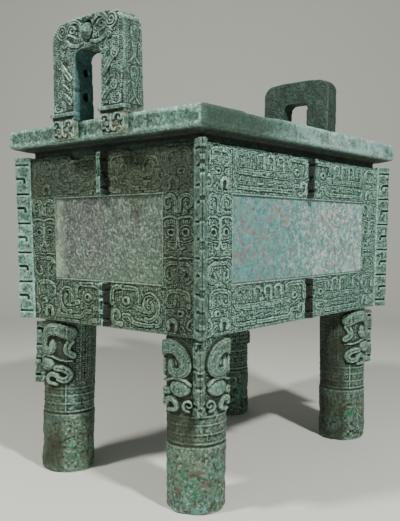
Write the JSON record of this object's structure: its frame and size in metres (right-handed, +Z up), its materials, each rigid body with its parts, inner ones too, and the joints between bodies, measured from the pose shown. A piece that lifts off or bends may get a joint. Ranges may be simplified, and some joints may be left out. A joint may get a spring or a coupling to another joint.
{
  "type": "bronze ding vessel",
  "caption": "Large rectangular bronze food vessel on four cylindrical legs, with two upright arched ears, flanges and cast masks and dragons.",
  "frame": {"origin": "middle of the overall box, on the ground that the four feet stand on", "axes": "+X along the long side, ears at both ends; +Y along the short side, so -Y is the long wall seen to the right in the picture and -X the short wall seen to the left; +Z up"},
  "size_m": [1.1748, 0.79, 1.3283],
  "materials": {
    "body_bronze": "cast bronze under a grey-green and turquoise patina, with cuprite, pale streaks and malachite at the feet",
    "ear_bronze": "cast bronze under a grey-green patina, smoother and more teal on the inner sides"
  },
  "bodies": {
    "root": {"vessel": "body_bronze", "ear_left": "ear_bronze", "ear_right": "ear_bronze"}
  },
  "joints": []
}
